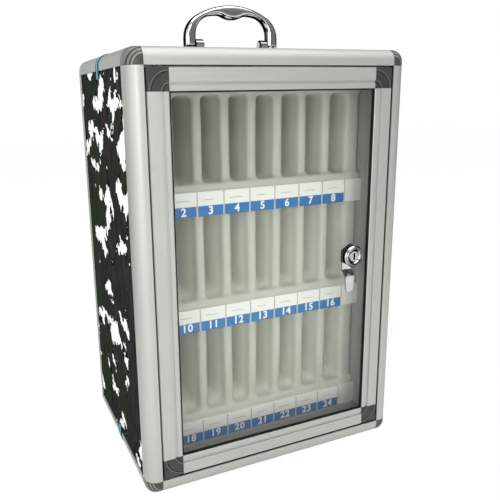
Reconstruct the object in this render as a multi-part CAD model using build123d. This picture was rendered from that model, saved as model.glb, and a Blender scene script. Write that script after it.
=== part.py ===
from build123d import *
import os

# Phone locker box: an aluminium-framed cabinet with a glazed door, a cam lock,
# three tiers of foam phone slots and a folding carrying handle.
# Frame: origin under the middle of the case on the surface it stands on,
# +X to the viewer's right, +Y from the door to the back, +Z up. Millimetres.

# ------------------------------------------------------------- case sizes
case_width = 330.0
case_depth = 242.0
case_height = 484.0

# ------------------------------------------------------ case rail extrusion
rail_face = 17.8        # width of each visible leg of a rail
rail_radius = 13.4      # quarter-round outer edge
rail_core = 10.8        # side of the hollow core behind the rounding
rail_skin = 1.2         # wall of the extrusion
jamb_depth = 8.5        # depth of the leg that frames the door opening
seam = 0.15             # butt joint between a rail and a corner block
stub_start = 5.2        # square spigot inside the core, measured from the edge
stub_side = 4.0
stub_length = 15.0

# ------------------------------------------------------------ case sheets
panel_thickness = 3.0
panel_play = 0.1        # play of a sheet in its groove, on each side
lining_thickness = 2.0
floor_pad_thickness = 5.5
lining_play = 0.1       # glue line between a lining and the rail cores

# ------------------------------------------------------------- slot tiers
slots_per_tier = 8
cheek_width = 20.8          # foam at each end of a row of slots
divider_thickness = 12.0
divider_rounding = 5.0
foam_back_wall = 8.0
foam_play = 0.1
lower_roof = 11.7           # foam above the pockets of each tier
middle_roof = 5.5
upper_roof = 34.0
shelf_thickness = 3.0
strip_setback = 58.0        # from the front of the case to the label strips
strip_height = 28.5
strip_thickness = 2.0
ledge_depth = 5.0           # foam bed in front of the dividers
ledge_rise = 9.0            # foam bed above the label strip
ledge_rounding = 3.0
card_gap = 2.2
card_slack = 0.8            # pitch of the cards below that of the slots
card_thickness = 0.4
card_row_inset = 39.7       # from the side of the case to the last card in a row

# ------------------------------------------------------------------- door
door_gap = 2.0
door_thickness = 8.5
door_border = 22.7      # width of the door frame seen from the front
door_skin = 1.2
door_bevel = 1.0
channel_start = 14.0    # channel that separates the flat face from the bead
channel_width = 3.0
channel_depth = 1.4
bead_drop = 0.4
glass_thickness = 3.0
glass_setback = 4.1     # from the front of the door to the glass
glass_bite = 5.0        # how far the glass enters the frame
glass_play = 0.1
gasket_width = 1.5
gasket_setback = 1.2
door_stub_length = 18.0
door_stub_play = 0.2
corner_groove_radii = (6.6, 18.6)    # grooves round the inner corner of a door corner block
corner_groove_width = 1.2
corner_groove_depth = 0.5
ball_groove_radii = (8.6, 11.6)     # rings round the rounded end of a case corner
ball_groove_width = 0.8
corner_bead_radius = 4.5
corner_bead_rise = 0.5

# ------------------------------------------------------------ door pivots
pivot_inset = 10.0      # from the hinge edge of the door to the pin axis
pivot_pin_radius = 1.75
pivot_pin_seat = 12.0   # length held in the door's corner block
pivot_pin_reach = 5.0   # length beyond the gap, in the bush
pivot_running = 0.05
bush_wall = 1.0
bush_depth = 5.6
bush_flange_radius = 3.9
top_flange = 0.8
bottom_flange = 1.9     # carries the door's weight

# ------------------------------------------------------------------- lock
lock_inset = 62.0        # from the side of the case to the lock axis
lock_rise = 5.0          # lock axis above the middle of the door
lock_front = 1.0         # from the front of the case to the lock's face
lock_flange_radius = 13.0
lock_flange_chamfer = 1.2
lock_mouth_chamfer = 1.6     # dished ring round the plug
barrel_radius = 9.3
barrel_end = 15.6       # rear end of the barrel, from the front of the case
barrel_clearance = 0.2
nut_across_flats = 24.0
nut_thickness = 4.8
nut_play = 0.05
plug_radius = 7.0
plug_recess = 0.5
plug_chamfer = 0.8
plug_running = 0.05
plug_tail = 0.3
keyway_width = 2.2
keyway_height = 8.0
keyway_depth = 9.0
cam_thickness = 1.5
cam_hub_radius = 8.0
cam_tip_radius = 5.5
cam_length = 47.0       # from the lock axis to the tip
cam_crank_start = 20.0
cam_crank_end = 27.0
cam_lean = 0.3          # keeps the crank as thick as the rest of the tongue
cam_door_clearance = 0.4
cam_screw_radius = 2.0
cam_screw_head_radius = 4.2
cam_screw_head_height = 2.0
cam_screw_length = 7.0

# ----------------------------------------------------------------- handle
handle_half_width = 60.4
handle_crown = 57.0         # above the top of the case
handle_pivot_height = 12.5
handle_depth = 13.0         # front to back
handle_leg_width = 12.8
handle_grip_thickness = 10.5
outer_shoulder_radius = 28.0
outer_shoulder_height = 20.0
inner_shoulder_radius = 22.0
inner_shoulder_height = 23.0
grip_bump_half = 22.0
grip_bump_drop = 5.5
grip_bump_blend = 10.0
handle_edge_radius = 2.8
handle_bore_depth = 9.0

lug_gap = 0.3
lug_width = 9.4
lug_radius = 6.0
lug_base_half = 9.0
bracket_thickness = 1.6
bracket_depth = 26.0
bracket_overhang = 5.6      # beyond the outside of the handle's leg
bracket_inner_reach = 10.0  # beyond the inside of the lug
bracket_corner = 4.0
handle_pin_radius = 2.5
handle_pin_running = 0.05
handle_pin_head_radius = 4.0
handle_pin_head = 1.4
screw_radius = 1.6
screw_play = 0.05
screw_head_radius = 3.2
screw_head_height = 1.4
screw_head_crown = 0.8
screw_outer_spacing = 17.0
screw_edge = 4.8
screw_outer_edge = 9.6

# ------------------------------------------------------------- strap tabs
strap_width = 13.0
strap_thickness = 0.6
strap_play = 0.05
strap_drop = 9.0        # length hanging over the side panel
strap_lower_wrap = 60.0     # degrees that the lower tab goes round its rail

# --------------------------------------------------------- derived places
half_width = case_width / 2
half_depth = case_depth / 2
front = -half_depth
groove_width = panel_thickness + 2 * panel_play
rail_leg = 2 * rail_skin + groove_width
panel_outer = rail_skin + panel_play
sheet_edge = rail_core + 2 * panel_play
lining_outer = rail_core + lining_play
lining_inner = lining_outer + lining_thickness
inner_half_width = half_width - lining_inner
floor_top = lining_outer + floor_pad_thickness
ceiling = case_height - lining_inner
back_inner = half_depth - lining_outer

foam_half_width = inner_half_width - foam_play
strip_front = front + strip_setback
ledge_front = strip_front + strip_thickness
foam_front = ledge_front + ledge_depth
foam_rear_wall = back_inner - foam_back_wall
slot_pitch = (2 * (foam_half_width - cheek_width) + divider_thickness) / slots_per_tier
slot_width = slot_pitch - divider_thickness
bed_height = strip_height + ledge_rise
card_pitch = slot_pitch - card_slack
card_width = card_pitch - card_gap
card_row_end = half_width - card_row_inset
pocket_height = (ceiling - floor_top - lower_roof - middle_roof - upper_roof) / 3 - bed_height
tier_floors = {
    "lower": floor_top,
    "middle": floor_top + bed_height + pocket_height + lower_roof,
    "upper": ceiling - upper_roof - pocket_height - bed_height,
}
tier_ceilings = {
    "lower": tier_floors["middle"],
    "middle": tier_floors["upper"],
    "upper": ceiling,
}

door_left = -half_width + rail_face + door_gap
door_bottom = rail_face + door_gap
door_width = -2 * door_left
door_height = case_height - 2 * door_bottom
door_middle = case_height / 2
lock_x = half_width - lock_inset
lock_z = door_middle + lock_rise
glass_edge = door_border - glass_bite
glass_rear = glass_setback + glass_thickness
pivot_x = door_left + pivot_inset
pivot_y = front + door_thickness / 2
bush_radius = pivot_pin_radius + pivot_running + bush_wall

handle_inner = handle_half_width - handle_leg_width
lug_outer = handle_inner - lug_gap
lug_inner = lug_outer - lug_width
pivot_z = case_height + handle_pivot_height
plate_bottom = case_height - panel_outer
plate_top = plate_bottom + bracket_thickness
plate_outer = handle_half_width + bracket_overhang
plate_inner = lug_inner - bracket_inner_reach

X, Y, Z = Vector(1, 0, 0), Vector(0, 1, 0), Vector(0, 0, 1)
CUT = 1.0               # overrun of a cutting body past the face it opens


# ---------------------------------------------------------------- helpers
def block(x0, x1, y0, y1, z0, z1):
    return Pos(x0, y0, z0) * Box(x1 - x0, y1 - y0, z1 - z0, align=(Align.MIN, Align.MIN, Align.MIN))


def rect(u0, u1, v0, v1):
    return Pos(u0, v0) * Rectangle(u1 - u0, v1 - v0, align=(Align.MIN, Align.MIN))


def extrusion(profile, length, edge, u, v):
    """Run a profile along an edge: u and v are the inward directions of its two axes."""
    plane = Plane(origin=edge, x_dir=u, z_dir=u.cross(v))
    return extrude(plane * profile, length / 2, both=True)


def rod(radius, start, end, axis):
    """A cylinder between two stations on a line; axis is a function of the station."""
    p0, p1 = axis(start), axis(end)
    direction = (p1 - p0).normalized()
    return extrude(Plane(origin=p0, z_dir=direction) * Circle(radius), (p1 - p0).length)


def mirrored(shape, flip_x=False, flip_y=False, flip_z=False):
    for flip, plane in ((flip_x, Plane.YZ), (flip_y, Plane.XZ), (flip_z, Plane.XY)):
        if flip:
            shape = mirror(shape, about=plane)
    return shape


# ------------------------------------------------------- case extrusions
def rounded_square(inset):
    square = rect(inset, rail_face, inset, rail_face)
    outer_vertex = square.vertices().sort_by_distance((0, 0, 0))[0]
    return fillet(outer_vertex, rail_radius - inset)


def front_profile():
    """u runs from the outside of the case towards the door, v from the front to the back."""
    far = rail_face + CUT
    chamber_end = rail_core - rail_skin
    body = rounded_square(0)
    body -= rect(rail_core, far, jamb_depth, far)
    body -= rect(rail_leg, far, rail_core, far)
    body -= rect(rail_skin, rail_skin + groove_width, rail_core, far)
    chamber = rect(0, rail_face - rail_skin, 0, jamb_depth - rail_skin)
    chamber += rect(0, chamber_end, 0, chamber_end)
    return body - (chamber & rounded_square(rail_skin))


def edge_profile():
    """A rail between two sheets, with a groove along each inner leg."""
    far = rail_face + CUT
    chamber_end = rail_core - rail_skin
    body = rounded_square(0)
    body -= rect(rail_core, far, rail_leg, far)
    body -= rect(rail_leg, far, rail_core, far)
    body -= rect(rail_skin, rail_skin + groove_width, rail_core, far)
    body -= rect(rail_core, far, rail_skin, rail_skin + groove_width)
    chamber = rect(0, chamber_end, 0, chamber_end)
    return body - (chamber & rounded_square(rail_skin))


def case_rails():
    jamb, edge = front_profile(), edge_profile()
    across = case_width - 2 * (rail_face + seam)
    upright = case_height - 2 * (rail_face + seam)
    deep = case_depth - 2 * (rail_face + seam)
    middle, top = case_height / 2, case_height
    rails = {
        "rail_front_left": extrusion(jamb, upright, Vector(-half_width, front, middle), X, Y),
        "rail_front_right": extrusion(jamb, upright, Vector(half_width, front, middle), -X, Y),
        "rail_front_top": extrusion(jamb, across, Vector(0, front, top), -Z, Y),
        "rail_front_bottom": extrusion(jamb, across, Vector(0, front, 0), Z, Y),
        "rail_rear_left": extrusion(edge, upright, Vector(-half_width, half_depth, middle), X, -Y),
        "rail_rear_right": extrusion(edge, upright, Vector(half_width, half_depth, middle), -X, -Y),
        "rail_rear_top": extrusion(edge, across, Vector(0, half_depth, top), -Z, -Y),
        "rail_rear_bottom": extrusion(edge, across, Vector(0, half_depth, 0), Z, -Y),
        "rail_side_top_left": extrusion(edge, deep, Vector(-half_width, 0, top), X, -Z),
        "rail_side_top_right": extrusion(edge, deep, Vector(half_width, 0, top), -X, -Z),
        "rail_side_bottom_left": extrusion(edge, deep, Vector(-half_width, 0, 0), X, Z),
        "rail_side_bottom_right": extrusion(edge, deep, Vector(half_width, 0, 0), -X, Z),
    }
    seat = Pos(pivot_x, pivot_y, 0) * Cylinder(bush_radius + pivot_running, 2 * (rail_skin + CUT))
    rails["rail_front_top"] -= Pos(0, 0, case_height - rail_face) * seat
    rails["rail_front_bottom"] -= Pos(0, 0, rail_face) * seat
    return rails


# --------------------------------------------------------- corner blocks
def ball_groove(radius):
    """Tool for a shallow ring in the rounded corner, a quarter turn about the front-to-back axis."""
    setback = (rail_radius ** 2 - radius ** 2) ** 0.5
    centre = Vector(rail_radius, rail_radius - setback, rail_radius)
    path = Plane(origin=centre, x_dir=-X, z_dir=-Y) * CenterArc((0, 0), radius, 0, 90)
    profile = Plane(origin=path @ 0, z_dir=path % 0) * Circle(ball_groove_width / 2)
    return sweep(profile, path)


def corner_block():
    """Three-way block with its outer corner at the origin, spigots along +X, +Y and +Z."""
    cube = block(0, rail_face, 0, rail_face, 0, rail_face)
    outer_edges = [edge for edge in cube.edges() if edge.distance_to(Vertex(0, 0, 0)) < seam]
    cube = fillet(outer_edges, rail_radius)
    for radius in ball_groove_radii:
        cube -= ball_groove(radius)
    cube -= block(rail_core, rail_face, rail_core, rail_face, rail_core, rail_face)
    near, far = stub_start, stub_start + stub_side
    tip = rail_face + stub_length
    cube += block(rail_core, tip, near, far, near, far)
    cube += block(near, far, rail_core, tip, near, far)
    cube += block(near, far, near, far, rail_core, tip)
    return cube


def corner_blocks():
    base = corner_block()
    blocks = {}
    for depth_name, y, flip_y in (("front", front, False), ("rear", half_depth, True)):
        for height_name, z, flip_z in (("top", case_height, True), ("bottom", 0, False)):
            for side_name, x, flip_x in (("left", -half_width, False), ("right", half_width, True)):
                name = f"corner_{depth_name}_{height_name}_{side_name}"
                blocks[name] = Pos(x, y, z) * mirrored(base, flip_x, flip_y, flip_z)
    return blocks


# ------------------------------------------------------------ case sheets
def notched_sheet(width, height):
    """A sheet whose corners clear the corner blocks."""
    notch = rail_face + seam - sheet_edge
    outline = Rectangle(width, height)
    for place in GridLocations(width, height, 2, 2):
        outline -= place * Rectangle(2 * notch, 2 * notch)
    return extrude(outline, panel_thickness)


def case_panels():
    across = case_width - 2 * sheet_edge
    deep = case_depth - 2 * sheet_edge
    high = case_height - 2 * sheet_edge
    middle = case_height / 2
    side = Plane(origin=(-half_width + panel_outer, 0, middle), x_dir=Y, z_dir=X)
    left = side * notched_sheet(deep, high)
    flat = Plane(origin=(0, 0, panel_outer), x_dir=X, z_dir=Z)
    bottom = flat * notched_sheet(across, deep)
    top = Pos(0, 0, case_height - 2 * panel_outer - panel_thickness) * bottom
    for x, y in screw_places():
        top -= Pos(x, y, plate_bottom) * Cylinder(screw_radius + screw_play, 4 * panel_thickness)
    rear = Plane(origin=(0, half_depth - panel_outer, middle), x_dir=X, z_dir=-Y)
    return {
        "panel_left": left,
        "panel_right": mirrored(left, flip_x=True),
        "panel_bottom": bottom,
        "panel_top": top,
        "panel_back": rear * notched_sheet(across, high),
    }


def case_linings():
    wide = half_width - lining_outer
    y0 = front + lining_outer
    left = block(-wide, -inner_half_width, y0, back_inner, floor_top, ceiling)
    return {
        "floor_pad": block(-wide, wide, y0, back_inner, lining_outer, floor_top),
        "lining_ceiling": block(-wide, wide, y0, back_inner, ceiling, ceiling + lining_thickness),
        "lining_left": left,
        "lining_right": mirrored(left, flip_x=True),
    }


# -------------------------------------------------------------- slot tiers
def slot_block(tier):
    """Foam bed, back wall and roof that close a row of pockets."""
    lift = 0 if tier == "lower" else shelf_thickness
    bed = tier_floors[tier] + lift
    bed_top = tier_floors[tier] + bed_height
    roof = bed_top + pocket_height
    step = rect(ledge_front, back_inner, bed, bed_top)
    lip = step.vertices().group_by(Axis.X)[0].sort_by(Axis.Y)[-1]
    side = fillet(lip, ledge_rounding)
    side += rect(foam_rear_wall, back_inner, bed_top, roof)
    side += rect(foam_front, back_inner, roof, tier_ceilings[tier] - foam_play)
    return extrude(Plane.YZ * side, foam_half_width, both=True)


def slot_dividers(tier):
    """Cheeks and partitions between the bed and the roof, rounded where a phone goes in."""
    plan = Sketch()
    left = -foam_half_width
    for index in range(slots_per_tier + 1):
        width = cheek_width if index in (0, slots_per_tier) else divider_thickness
        wall = rect(left, left + width, foam_front, foam_rear_wall)
        plan += fillet(wall.vertices().group_by(Axis.Y)[0], divider_rounding)
        left += width + slot_width
    return Pos(0, 0, tier_floors[tier] + bed_height) * extrude(plan, pocket_height)


def shelf(tier):
    z0 = tier_floors[tier]
    return block(-foam_half_width, foam_half_width, ledge_front, back_inner, z0, z0 + shelf_thickness)


def label_strips():
    strips = []
    for z0 in tier_floors.values():
        strips.append(block(-foam_half_width, foam_half_width, strip_front, ledge_front,
                            z0, z0 + strip_height))
    return Compound(strips)


def label_cards():
    cards = []
    for z0 in tier_floors.values():
        for index in range(slots_per_tier):
            right = card_row_end - index * card_pitch
            cards.append(block(right - card_width, right, strip_front - card_thickness, strip_front,
                               z0, z0 + strip_height))
    return Compound(cards)


# -------------------------------------------------------------------- door
def door_profile():
    """u runs from the edge of the door towards the glass, v from the front to the back."""
    far = door_border + CUT
    channel_end = channel_start + channel_width
    body = rect(0, door_border, 0, door_thickness)
    body = chamfer(body.vertices().sort_by_distance((0, 0, 0))[0], door_bevel)
    body -= rect(channel_end, far, -CUT, bead_drop)
    bead_edge = body.vertices().sort_by_distance((door_border, bead_drop, 0))[0]
    body = fillet(bead_edge, door_bevel)
    body -= rect(channel_start, channel_end, -CUT, channel_depth)
    body -= rect(glass_edge - glass_play, far, glass_setback - glass_play, glass_rear + glass_play)
    chamber = rect(door_skin, channel_start - door_skin, door_skin, door_thickness - door_skin)
    return body - chamber


def door_rails():
    profile = door_profile()
    across = door_width - 2 * (door_border + seam)
    upright = door_height - 2 * (door_border + seam)
    return {
        "door_stile_left": extrusion(profile, upright, Vector(door_left, front, door_middle), X, Y),
        "door_stile_right": extrusion(profile, upright, Vector(-door_left, front, door_middle), -X, Y),
        "door_rail_top": extrusion(profile, across, Vector(0, front, case_height - door_bottom), -Z, Y),
        "door_rail_bottom": extrusion(profile, across, Vector(0, front, door_bottom), Z, Y),
    }


def door_corner():
    """Lower left corner of the door, its outer corner at the origin, front face at y = 0."""
    side = door_border
    body = block(0, side, 0, door_thickness, 0, side)
    outer = body.edges().group_by(Axis.Y)[0]
    outer = [edge for edge in outer if edge.distance_to(Vertex(0, 0, 0)) < seam]
    body = chamfer(outer, door_bevel)
    inner_corner = Plane(origin=(side, 0, side), x_dir=X, z_dir=-Y)
    for radius in corner_groove_radii:
        ring = Circle(radius + corner_groove_width / 2) - Circle(radius - corner_groove_width / 2)
        body -= extrude(inner_corner * ring, corner_groove_depth, both=True)
    bead = extrude(inner_corner * Circle(corner_bead_radius), corner_bead_rise)
    body += bead & block(0, side, -corner_bead_rise, 0, 0, side)
    slot_edge = glass_edge - glass_play
    slot_front, slot_rear = glass_setback - glass_play, glass_rear + glass_play
    body -= block(slot_edge, side + CUT, slot_front, slot_rear, slot_edge, side + CUT)
    near = door_skin + door_stub_play
    far = channel_start - near
    tip = side + door_stub_length
    body += block(side, tip, near, door_thickness - near, near, far)
    body += block(near, far, near, door_thickness - near, side, tip)
    return body


def door_corners():
    base = door_corner()
    drilling = rod(pivot_pin_radius, -CUT, pivot_pin_seat,
                   lambda s: Vector(pivot_inset, door_thickness / 2, s))
    hinged = base - drilling
    corners = []
    for z, flip_z in ((door_bottom, False), (case_height - door_bottom, True)):
        corners.append(Pos(door_left, front, z) * mirrored(hinged, flip_z=flip_z))
        corners.append(Pos(-door_left, front, z) * mirrored(base, flip_x=True, flip_z=flip_z))
    return Compound(corners)


def door_glass():
    edge = glass_edge
    y0 = front + glass_setback
    pane = block(door_left + edge, -door_left - edge, y0, y0 + glass_thickness,
                 door_bottom + edge, case_height - door_bottom - edge)
    return pane - lock_rod(barrel_radius + barrel_clearance, 0, barrel_end)


def door_gasket():
    y0, y1 = front + gasket_setback, front + glass_setback
    x0, z0 = door_left + door_border, door_bottom + door_border
    outer = block(x0, -x0, y0, y1, z0, case_height - z0)
    x1, z1 = x0 + gasket_width, z0 + gasket_width
    return outer - block(x1, -x1, y0 - CUT, y1 + CUT, z1, case_height - z1)


def pivot_pins():
    def lower(s):
        return Vector(pivot_x, pivot_y, door_bottom + s)

    pin = rod(pivot_pin_radius, -door_gap - pivot_pin_reach, pivot_pin_seat, lower)
    top = Pos(0, 0, case_height) * mirrored(pin, flip_z=True)
    return Compound([pin, top])


def pivot_bush(flange):
    """Lower bush; its flange stands on the jamb and faces the door."""
    def station(s):
        return Vector(pivot_x, pivot_y, rail_face + s)

    bush = rod(bush_flange_radius, 0, flange, station) + rod(bush_radius, -bush_depth, 0, station)
    return bush - rod(pivot_pin_radius + pivot_running, -bush_depth - CUT, flange + CUT, station)


# -------------------------------------------------------------------- lock
def lock_rod(radius, start, end):
    """Cylinder on the lock axis between two depths behind the front of the case."""
    return rod(radius, start, end, lambda s: Vector(lock_x, front + s, lock_z))


def lock_housing():
    flange = lock_rod(lock_flange_radius, lock_front, glass_setback)
    flange = chamfer(flange.edges().group_by(Axis.Y)[0], lock_flange_chamfer)
    body = flange + lock_rod(barrel_radius, glass_setback, barrel_end)
    body -= lock_rod(plug_radius + plug_running, 0, barrel_end + CUT)
    mouth = body.edges().filter_by(GeomType.CIRCLE).group_by(Axis.Y)[0].sort_by(SortBy.RADIUS)[0]
    return chamfer(mouth, lock_mouth_chamfer)


def lock_nut():
    plane = Plane(origin=(lock_x, front + glass_rear, lock_z), x_dir=Z, z_dir=Y)
    nut = extrude(plane * RegularPolygon(nut_across_flats / 2, 6, major_radius=False), nut_thickness)
    return nut - lock_rod(barrel_radius + nut_play, 0, barrel_end)


def lock_plug():
    tail = barrel_end + plug_tail
    plug = lock_rod(plug_radius, lock_front + plug_recess, tail)
    keyway = block(-keyway_width / 2, keyway_width / 2, 0, lock_front + plug_recess + keyway_depth,
                   -keyway_height / 2, keyway_height / 2)
    plug = chamfer(plug.edges().filter_by(GeomType.CIRCLE).group_by(Axis.Y)[0], plug_chamfer)
    plug -= Pos(lock_x, front, lock_z) * keyway
    return plug - lock_rod(cam_screw_radius, tail - cam_screw_length + cam_thickness, tail + CUT)


def lock_cam():
    """Cranked tongue: it leaves the plug behind the barrel and runs just behind the door."""
    hub = barrel_end + plug_tail
    tongue = door_thickness + cam_door_clearance
    t = cam_thickness
    start, end = -cam_crank_start, -cam_crank_end
    side = Polyline(
        (hub, cam_hub_radius), (hub, start + cam_lean), (tongue, end + cam_lean), (tongue, -cam_length),
        (tongue + t, -cam_length), (tongue + t, end - cam_lean), (hub + t, start - cam_lean),
        (hub + t, cam_hub_radius), close=True)
    strip = extrude(Plane.YZ * make_face(side), cam_hub_radius, both=True)
    ends = Sketch() + Circle(cam_hub_radius) + Pos(0, cam_tip_radius - cam_length) * Circle(cam_tip_radius)
    outline = make_hull(ends.edges())
    face_on = Plane.XZ * outline
    cam = strip & extrude(face_on, -(hub + 2 * t))
    cam = Pos(lock_x, front, lock_z) * cam
    return cam - lock_rod(cam_screw_radius, hub - CUT, hub + t + CUT)


def cam_screw():
    seat = barrel_end + plug_tail + cam_thickness
    head = lock_rod(cam_screw_head_radius, seat, seat + cam_screw_head_height)
    return head + lock_rod(cam_screw_radius, seat - cam_screw_length, seat)


# ------------------------------------------------------------------ handle
def arch_region(half, crown, shoulder_radius, shoulder_height, foot):
    """Region under a three-centred arch: two shoulders joined by a flatter crown arc."""
    cx = half - shoulder_radius
    rise = crown - shoulder_height
    crown_radius = (cx ** 2 + rise ** 2 - shoulder_radius ** 2) / (2 * (rise - shoulder_radius))
    centre = crown - crown_radius
    scale = crown_radius / (crown_radius - shoulder_radius)
    tx, tz = cx * scale, centre + (shoulder_height - centre) * scale
    mx, mz = shoulder_middle(cx, shoulder_height, tx, tz, shoulder_radius)
    outline = Curve() + [
        Line((half, foot), (half, shoulder_height)),
        ThreePointArc((half, shoulder_height), (mx, mz), (tx, tz)),
        ThreePointArc((tx, tz), (0, crown), (-tx, tz)),
        ThreePointArc((-tx, tz), (-mx, mz), (-half, shoulder_height)),
        Line((-half, shoulder_height), (-half, foot)),
        Line((-half, foot), (half, foot))]
    return make_face(outline)


def shoulder_middle(cx, cz, tx, tz, radius):
    """Point half way round a shoulder arc, from level with its centre to where it meets the crown."""
    direction = Vector(tx - cx, tz - cz).normalized() + Vector(1, 0)
    direction = direction.normalized() * radius
    return (cx + direction.X, cz + direction.Y)


def handle():
    foot = handle_pivot_height - handle_depth / 2
    inner_crown = handle_crown - handle_grip_thickness
    outer = arch_region(handle_half_width, handle_crown, outer_shoulder_radius, outer_shoulder_height, foot)
    hole = arch_region(handle_inner, inner_crown, inner_shoulder_radius, inner_shoulder_height, foot - CUT)
    bump_top = inner_crown + grip_bump_drop
    left, right = (-grip_bump_half, bump_top), (grip_bump_half, bump_top)
    finger_curve = ThreePointArc(left, (0, inner_crown - grip_bump_drop), right)
    bump = make_face(Curve() + [finger_curve, Line(right, left)])
    front_view = outer - hole + bump
    junctions = [v for v in front_view.vertices() if abs(v.X) < grip_bump_half and v.Y < bump_top]
    front_view = fillet(junctions, grip_bump_blend)
    upright = Plane(origin=(0, 0, case_height), x_dir=X, z_dir=-Y)
    bar = extrude(upright * front_view, handle_depth / 2, both=True)
    bar = fillet(bar.faces().filter_by(Axis.Y).edges(), handle_edge_radius)
    half = handle_depth / 2
    side_view = Pos(0, pivot_z) * Circle(half) + rect(-half, half, pivot_z, case_height + handle_crown + CUT)
    bar &= extrude(Plane.YZ * side_view, handle_half_width + CUT, both=True)
    for sign in (-1, 1):
        bar -= handle_rod(handle_pin_radius + handle_pin_running, handle_inner - CUT,
                          handle_inner + handle_bore_depth, sign)
    return bar


def handle_rod(radius, start, end, sign):
    """Cylinder on the handle's pivot axis between two distances from the middle of the case."""
    return rod(radius, start, end, lambda s: Vector(sign * s, 0, pivot_z))


def handle_brackets():
    plate = rect(plate_inner, plate_outer, -bracket_depth / 2, bracket_depth / 2)
    plate = extrude(fillet(plate.vertices(), bracket_corner), bracket_thickness)
    bracket = Pos(0, 0, plate_bottom) * plate
    sides = Polyline((-lug_base_half, plate_top), (lug_base_half, plate_top), (lug_radius, pivot_z),
                     (-lug_radius, pivot_z), close=True)
    lug = make_face(sides) + Pos(0, pivot_z) * Circle(lug_radius)
    bracket += extrude(Plane(origin=(lug_inner, 0, 0), x_dir=Y, z_dir=X) * lug, lug_width)
    bracket -= handle_rod(handle_pin_radius, lug_inner - CUT, lug_outer + CUT, 1)
    for x, y in screw_places():
        if x > 0:
            drilling = Cylinder(screw_radius + screw_play, 2 * (bracket_thickness + CUT))
            bracket -= Pos(x, y, plate_top) * drilling
    return Compound([bracket, mirrored(bracket, flip_x=True)])


def handle_pins():
    reach = handle_inner + handle_bore_depth - lug_gap
    pin = handle_rod(handle_pin_radius, lug_inner, reach, 1)
    pin += handle_rod(handle_pin_head_radius, lug_inner - handle_pin_head, lug_inner, 1)
    return Compound([pin, mirrored(pin, flip_x=True)])


def screw_places():
    """Three screws to a bracket: one on the inner tail, two beside the leg of the handle."""
    places = []
    for sign in (-1, 1):
        places.append((sign * (plate_inner + screw_edge), 0))
        for half in (-screw_outer_spacing / 2, screw_outer_spacing / 2):
            places.append((sign * (plate_outer - screw_outer_edge), half))
    return places


def bracket_screws():
    shank_end = plate_bottom - panel_thickness
    head = Cylinder(screw_head_radius, screw_head_height, align=(Align.CENTER, Align.CENTER, Align.MIN))
    head = fillet(head.edges().group_by(Axis.Z)[-1], screw_head_crown)
    shank = Pos(0, 0, shank_end - plate_top) * Cylinder(
        screw_radius, plate_top - shank_end, align=(Align.CENTER, Align.CENTER, Align.MIN))
    screw = head + shank
    return Compound([Pos(x, y, plate_top) * screw for x, y in screw_places()])


# -------------------------------------------------------------- strap tabs
def strap_tab(wrap, tail):
    """Webbing that hangs over the side sheet and goes round a rail; lower left rail, seen from the front."""
    inner = rail_radius + strap_play
    outer = inner + strap_thickness
    centre = (-half_width + rail_radius, rail_radius)
    quarter = Rectangle(outer, outer, align=(Align.MAX, Align.MAX))
    beyond = Rot(0, 0, wrap) * Rectangle(2 * outer, 2 * outer, align=(Align.CENTER, Align.MAX))
    band = Pos(*centre) * (((Circle(outer) - Circle(inner)) & quarter) - beyond)
    band += rect(centre[0] - outer, centre[0] - inner, rail_radius, rail_face + strap_drop)
    if tail > 0:
        band += rect(centre[0], centre[0] + tail, rail_radius - outer, rail_radius - inner)
    return extrude(Plane.XZ * band, strap_width / 2, both=True)


def strap_tabs():
    upper = mirrored(strap_tab(90, rail_face - rail_radius), flip_z=True)
    return Compound([Pos(0, 0, case_height) * upper, strap_tab(strap_lower_wrap, 0)])


# ---------------------------------------------------------------- assembly
def build_nodes():
    nodes = {}
    nodes.update(case_rails())
    nodes.update(corner_blocks())
    nodes.update(case_panels())
    nodes.update(case_linings())
    for tier in tier_floors:
        nodes[f"slot_block_{tier}"] = slot_block(tier)
        nodes[f"slot_dividers_{tier}"] = slot_dividers(tier)
        if tier != "lower":
            nodes[f"shelf_{tier}"] = shelf(tier)
    nodes["label_strips"] = label_strips()
    nodes["label_cards"] = label_cards()
    nodes.update(door_rails())
    nodes["door_corners"] = door_corners()
    nodes["door_glass"] = door_glass()
    nodes["door_gasket"] = door_gasket()
    nodes["pivot_pins"] = pivot_pins()
    nodes["pivot_bush_bottom"] = pivot_bush(bottom_flange)
    nodes["pivot_bush_top"] = Pos(0, 0, case_height) * mirrored(pivot_bush(top_flange), flip_z=True)
    nodes["lock_housing"] = lock_housing()
    nodes["lock_nut"] = lock_nut()
    nodes["lock_plug"] = lock_plug()
    nodes["lock_cam"] = lock_cam()
    nodes["cam_screw"] = cam_screw()
    nodes["handle"] = handle()
    nodes["handle_brackets"] = handle_brackets()
    nodes["handle_pins"] = handle_pins()
    nodes["bracket_screws"] = bracket_screws()
    nodes["strap_tabs"] = strap_tabs()
    return nodes


os.makedirs("parts", exist_ok=True)
for node, shape in build_nodes().items():
    export_step(shape, f"parts/{node}.step")
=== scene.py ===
"""Phone locker box: materials, printed and soft details, light and camera."""
import math

import bmesh
import bpy
from mathutils import Matrix, Vector, noise


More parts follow.
